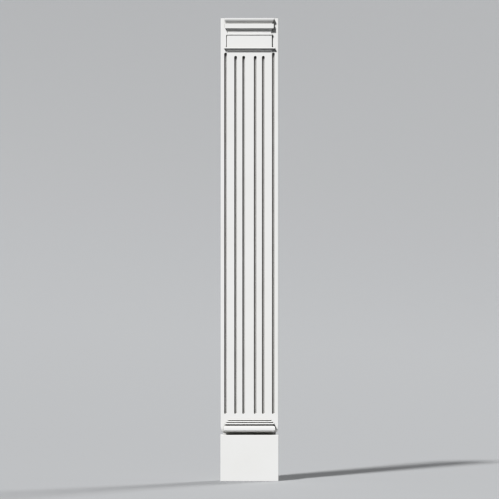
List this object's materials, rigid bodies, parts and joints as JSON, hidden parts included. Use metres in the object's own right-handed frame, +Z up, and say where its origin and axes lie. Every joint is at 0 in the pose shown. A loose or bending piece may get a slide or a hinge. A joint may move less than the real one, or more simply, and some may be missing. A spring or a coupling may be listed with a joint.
{
  "type": "pilaster",
  "caption": "Flat fluted pilaster for the side of a doorway, moulded in one piece with a stepped capital, narrow round-ended flutes, a mitred base moulding and a plain plinth.",
  "frame": {"origin": "middle of the flat back face that goes against the wall, half way up", "axes": "+Z up along the pilaster, +Y into the wall, so the front faces -Y, and +X to the right seen from the front"},
  "size_m": [0.26, 0.058, 2.08],
  "materials": {
    "moulded_white": "factory-primed white, satin to matte"
  },
  "bodies": {
    "root": {"pilaster": "moulded_white"}
  },
  "joints": []
}
